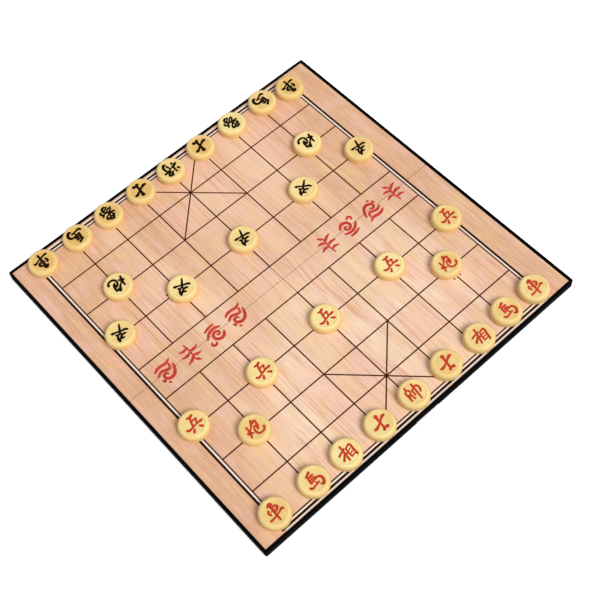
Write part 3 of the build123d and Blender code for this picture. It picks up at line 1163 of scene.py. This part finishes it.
@dataclass
class BoardPrint:
    """Ink on one half's film: border, grid, palace, point marks and river ornaments."""

    side: Side
    finishes: Finishes
    files: int = 9
    ranks: int = 10
    palace_files: tuple[int, int] = (3, 5)
    palace_ranks: int = 2
    cannon_file: int = 1
    cannon_rank: int = 2
    soldier_rank: int = 3
    soldier_step: int = 2
    side_margin: float = 29.2 * MM
    end_margin: float = 9.35 * MM
    shift_x: float = -3.1 * MM
    shift_y: float = -0.7 * MM
    line: float = 1.3 * MM
    river_line: float = 0.5 * MM
    inner_border: float = 1.25 * MM
    outer_border: float = 2.1 * MM
    end_strip: float = 1.9 * MM
    border_gap: float = 3.3 * MM
    mark_gap: float = 3.6 * MM
    mark_length: float = 8.2 * MM
    ink_height: float = 0.02 * MM
    ornament_size: float = 23.0 * MM
    ornament_thickness: float = 0.03
    ornament_files: tuple[float, ...] = (0.45, 1.15, 1.87, 2.56, 5.42, 6.13, 6.87, 7.6)
    ornaments: tuple[Motif, ...] = (Motif.WAVE, Motif.BAMBOO, Motif.CLOUD)
    cut_distance: float = 1e-7

    def __post_init__(self) -> None:
        """Take the case's and the film's places from the CAD nodes, and find this half's ranks."""
        low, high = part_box(f"board_film_{self.side.colour}")
        self.surface = high.z
        self.near = low.y if self.side.way > 0 else high.y
        case_low, case_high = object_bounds()
        self.last_file, self.last_rank = self.files - 1, self.ranks - 1
        self.file_pitch = (case_high.x - case_low.x - 2 * self.side_margin) / self.last_file
        self.rank_pitch = (case_high.y - case_low.y - 2 * self.end_margin) / self.last_rank
        half = self.ranks // 2
        black_ranks, red_ranks = (0, half - 1), (self.last_rank, half)
        self.end_rank, self.river_rank = black_ranks if self.side is Side.BLACK else red_ranks

    def _x(self, file: float) -> float:
        """X of a file."""
        return self.shift_x + (file - self.last_file / 2) * self.file_pitch

    def _y(self, rank: float) -> float:
        """Y of a rank."""
        return self.shift_y + (self.last_rank / 2 - rank) * self.rank_pitch

    def _inward(self, ranks: int) -> int:
        """Rank that lies so many ranks in from the player's end."""
        return self.end_rank + int(self.side.way) * ranks

    def _bar(self, build: bmesh.types.BMesh, start: Point, end: Point, width: float,
             coat: Coat = Coat.FILE) -> None:
        """Add one printed line as a thin bar.

        Args:
            build: Bmesh that the bar joins.
            start: One end.
            end: The other end.
            width: Width of the line.
            coat: Which print it is, for its height.
        """
        run = Vector((end[0] - start[0], end[1] - start[1]))
        middle = Vector(((start[0] + end[0]) / 2, (start[1] + end[1]) / 2, self.surface))
        turn = Matrix.Rotation(math.atan2(run.y, run.x), 4, "Z")
        size = Matrix.Diagonal((run.length, width, 2 * self.ink_height * coat.value, 1))
        bmesh.ops.create_cube(build, size=1, matrix=Matrix.Translation(middle) @ turn @ size)

    def _grid(self, build: bmesh.types.BMesh) -> None:
        """Files, ranks, palace and the thin file across the river.

        Args:
            build: Bmesh that the bars join.
        """
        first, last = sorted((self.end_rank, self.river_rank))
        for file in range(1, self.last_file):
            self._bar(build, (self._x(file), self._y(first)), (self._x(file), self._y(last)), self.line)
        for rank in range(first, last + 1):
            if rank != self.end_rank:
                row = self._y(rank)
                self._bar(build, (self._x(0), row), (self._x(self.last_file), row), self.line, Coat.RANK)
        palace = sorted((self.end_rank, self._inward(self.palace_ranks)))
        for left, right in (self.palace_files, self.palace_files[::-1]):
            start, end = (self._x(left), self._y(palace[0])), (self._x(right), self._y(palace[1]))
            self._bar(build, start, end, self.line, Coat.PALACE)
        middle = self._x(self.last_file / 2)
        self._bar(build, (middle, self._y(self.river_rank)), (middle, self.near), self.river_line)

    def _border(self, build: bmesh.types.BMesh) -> None:
        """Thin inner and thick outer frame, open along the fold.

        Args:
            build: Bmesh that the bars join.
        """
        for width, offset in ((self.inner_border, 0.0), (self.outer_border, self.border_gap)):
            left, right = self._x(0) - offset, self._x(self.last_file) + offset
            far = self._y(self.end_rank) + self.side.way * offset
            overlap = width / 2
            self._bar(build, (left - overlap, far), (right + overlap, far), width, Coat.END_FRAME)
            for file_x in (left, right):
                self._bar(build, (file_x, far), (file_x, self.near), width, Coat.SIDE_FRAME)

    def _pale_strip(self, build: bmesh.types.BMesh) -> None:
        """Pale strip between the two frames, and one outside them at the far end.

        Args:
            build: Bmesh that the bars join.
        """
        middle = self.border_gap / 2
        far = self._y(self.end_rank) + self.side.way * middle
        left, right = self._x(0) - middle, self._x(self.last_file) + middle
        self._bar(build, (left, far), (right, far), self.border_gap, Coat.END_STRIP)
        for file_x in (left, right):
            self._bar(build, (file_x, far), (file_x, self.near), self.border_gap, Coat.SIDE_STRIP)
        outside = far + self.side.way * (self.border_gap + self.outer_border + self.end_strip) / 2
        self._bar(build, (left, outside), (right, outside), self.end_strip, Coat.OUTER_STRIP)

    def _points(self, build: bmesh.types.BMesh) -> None:
        """Corner marks round the points where cannons and soldiers start.

        Args:
            build: Bmesh that the bars join.
        """
        cannon_files = (self.cannon_file, self.last_file - self.cannon_file)
        points = [(file, self._inward(self.cannon_rank)) for file in cannon_files]
        soldier_files = range(0, self.files, self.soldier_step)
        points += [(file, self._inward(self.soldier_rank)) for file in soldier_files]
        reach = self.mark_length
        for file, rank in points:
            for right in (-1, 1):
                if not 0 <= file + right <= self.last_file:
                    continue
                for up in (-1, 1):
                    x, y = self._x(file) + right * self.mark_gap, self._y(rank) + up * self.mark_gap
                    self._bar(build, (x, y), (x + right * reach, y), self.line, Coat.MARK_ACROSS)
                    self._bar(build, (x, y), (x, y + up * reach), self.line, Coat.MARK_ALONG)

    def _ornament(self, motif: Motif, name: str, place: Matrix) -> bpy.types.Object:
        """Print one scroll across the fold and keep what lies on this half.

        Args:
            motif: Which scroll.
            name: Name of the piece.
            place: Middle and turn of the scroll.

        Returns:
            The part of it on this half.
        """
        brush = Brush(size=self.ornament_size, thickness=self.ornament_thickness)
        piece = brush.paint(name, motif.value, place, self.finishes.red_ink)
        build = bmesh.new()
        build.from_mesh(piece.data)
        cut = bmesh.ops.bisect_plane(
            build, geom=build.verts[:] + build.edges[:] + build.faces[:], dist=self.cut_distance,
            plane_co=(0, self.near, 0), plane_no=(0, self.side.way, 0), clear_inner=True,
        )
        open_edges = [item for item in cut["geom_cut"] if isinstance(item, bmesh.types.BMEdge)]
        bmesh.ops.holes_fill(build, edges=open_edges)
        build.to_mesh(piece.data)
        build.free()
        return piece

    def _ornaments(self) -> list[bpy.types.Object]:
        """Red scrolls in the river.

        Returns:
            This half's share of each.
        """
        pieces = []
        for number, file in enumerate(self.ornament_files):
            motif = self.ornaments[number % len(self.ornaments)]
            facing = Side.BLACK.facing if file < self.last_file / 2 else Side.RED.facing
            turn = Matrix.Rotation(math.radians(facing), 4, "Z")
            spot = Vector((self._x(file), self._y(self.last_rank / 2), self.surface))
            name = f"river_scroll_{number}_{self.side.colour}"
            pieces.append(self._ornament(motif, name, Matrix.Translation(spot) @ turn))
        return pieces

    def make(self) -> list[bpy.types.Object]:
        """Build the prints of this half.

        Returns:
            The pieces.
        """
        pieces = []
        for name, draw, material in (
            ("lines", self._grid, self.finishes.ink),
            ("border", self._border, self.finishes.border_ink),
            ("point_marks", self._points, self.finishes.ink),
            ("pale_strip", self._pale_strip, self.finishes.pale_ink),
        ):
            build = bmesh.new()
            draw(build)
            pieces.append(finish_mesh(f"print_{name}_{self.side.colour}", build, material))
        pieces += self._ornaments()
        for piece in pieces:
            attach(piece, self.side.body)
        return pieces


# ------------------------------------------------------------------ the case


@dataclass
class CaseHalf:
    """One half of the case: shell, film, steel, liner, feet and closing magnets."""

    side: Side
    finishes: Finishes

    def make(self) -> list[bpy.types.Object]:
        """Dress this half's nodes.

        Returns:
            The pieces.
        """
        dress = {
            "case_shell": self.finishes.case,
            "board_film": self.finishes.wood,
            "steel_sheet": self.finishes.tin,
            "liner": self.finishes.foam,
            "foot_pads": self.finishes.rubber,
            "closure_magnets": self.finishes.nickel,
        }
        return [merged_copy(f"{name}_{self.side.colour}", material, self.side.body)
                for name, material in dress.items()]


@dataclass
class HingePins:
    """The two steel pins of the fold."""

    finishes: Finishes

    def make(self) -> list[bpy.types.Object]:
        """Dress the pins and return them as one piece."""
        return [merged_copy("hinge_pins", self.finishes.rod, Side.RED.body)]


# ------------------------------------------------------------------ the studio


@dataclass
class Studio:
    """White floor, soft light and the camera."""

    camera_place: tuple[float, float, float] = (-0.30668, -0.43668, 0.89321)
    camera_turn: tuple[float, float, float] = (29.9727, 3.5337, -41.8572)
    lens: float = 70.30
    sky: float = 0.44
    key: float = 2.4
    key_from: tuple[float, float, float] = (0.10, -0.80, 0.95)
    key_spread: float = 30.0
    floor_half: float = 4.0
    floor_white: float = 0.98
    floor_roughness: float = 0.9
    floor_specular: float = 0.1
    floor_glow: float = 0.45

    def _camera(self) -> None:
        """Place the camera."""
        data = bpy.data.cameras.new("camera")
        data.sensor_fit = "HORIZONTAL"
        data.lens = self.lens
        camera = bpy.data.objects.new("camera", data)
        turn = [math.radians(angle) for angle in self.camera_turn]
        camera.matrix_world = Matrix.Translation(self.camera_place) @ Euler(turn).to_matrix().to_4x4()
        bpy.context.scene.collection.objects.link(camera)
        bpy.context.scene.camera = camera

    @staticmethod
    def _seen(tree: Tree) -> Socket:
        """Whether a ray comes from the camera, straight, mirrored or through glass.

        Args:
            tree: Tree of the material or the world.

        Returns:
            One where it does, and zero elsewhere.
        """
        path = tree.node("ShaderNodeLightPath").outputs
        mirrored = tree.math("MAXIMUM", path["Is Glossy Ray"], path["Is Transmission Ray"])
        return tree.math("MAXIMUM", path["Is Camera Ray"], mirrored)

    def _light(self) -> None:
        """Soft sky all round and one broad key from the front."""
        lamp = bpy.data.lights.new("key", "SUN")
        lamp.energy = self.key
        lamp.angle = math.radians(self.key_spread)
        key = bpy.data.objects.new("key", lamp)
        key.rotation_mode = "QUATERNION"
        key.rotation_quaternion = Vector(self.key_from).to_track_quat("Z", "Y")
        bpy.context.scene.collection.objects.link(key)
        world = bpy.data.worlds.new("studio")
        world.use_nodes = True
        tree = Tree(world.node_tree)
        strength = tree.remap(self._seen(tree), 0.0, 1.0, self.sky, 1.0)
        background = world.node_tree.nodes["Background"]
        background.inputs["Color"].default_value = WHITE
        world.node_tree.links.new(strength, background.inputs["Strength"])
        bpy.context.scene.world = world

    def _floor(self) -> None:
        """Lay the white floor, seen only from above, which glows outside the case's footprint."""
        material, tree, shader = start_material(
            "floor",
            {"Base Color": (self.floor_white,) * 3 + (1,), "Roughness": self.floor_roughness,
             "Specular IOR Level": self.floor_specular, "Emission Strength": self.floor_glow},
        )
        link = tree.tree.links.new
        above = tree.math("SUBTRACT", 1.0, tree.node("ShaderNodeNewGeometry").outputs["Backfacing"])
        link(tree.math("MULTIPLY", self._seen(tree), above), shader.inputs["Alpha"])
        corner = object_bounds()[1]
        x, y, _ = tree.axes()
        beside = tree.math("GREATER_THAN", tree.math("ABSOLUTE", x), corner.x)
        beyond = tree.math("GREATER_THAN", tree.math("ABSOLUTE", y), corner.y)
        outside = tree.math("MAXIMUM", beside, beyond)
        link(tree.mix(outside, NO_LIGHT, WHITE), shader.inputs["Emission Color"])
        build = bmesh.new()
        bmesh.ops.create_grid(build, x_segments=1, y_segments=1, size=self.floor_half)
        finish_mesh("floor", build, material)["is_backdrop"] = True

    def make(self) -> None:
        """Set up the studio."""
        self._camera()
        self._light()
        self._floor()
        bpy.context.scene.view_settings.view_transform = "Standard"


def report(assembly: str, pieces: list[bpy.types.Object]) -> None:
    """Log each piece of a sub-assembly."""
    for piece in pieces:
        LOG.info("%s: %s", assembly, piece.name)


def main() -> None:
    """Build everything in order and report it."""
    logging.basicConfig(level=logging.INFO, format="%(name)s: %(message)s")
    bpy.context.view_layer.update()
    finishes = Finishes()
    Studio().make()
    for side in Side:
        report("case half", CaseHalf(side, finishes).make())
        report("board print", BoardPrint(side, finishes).make())
    report("hinge", HingePins(finishes).make())
    report("discs", DiscSet(finishes).make())


if __name__ == "__main__":
    main()
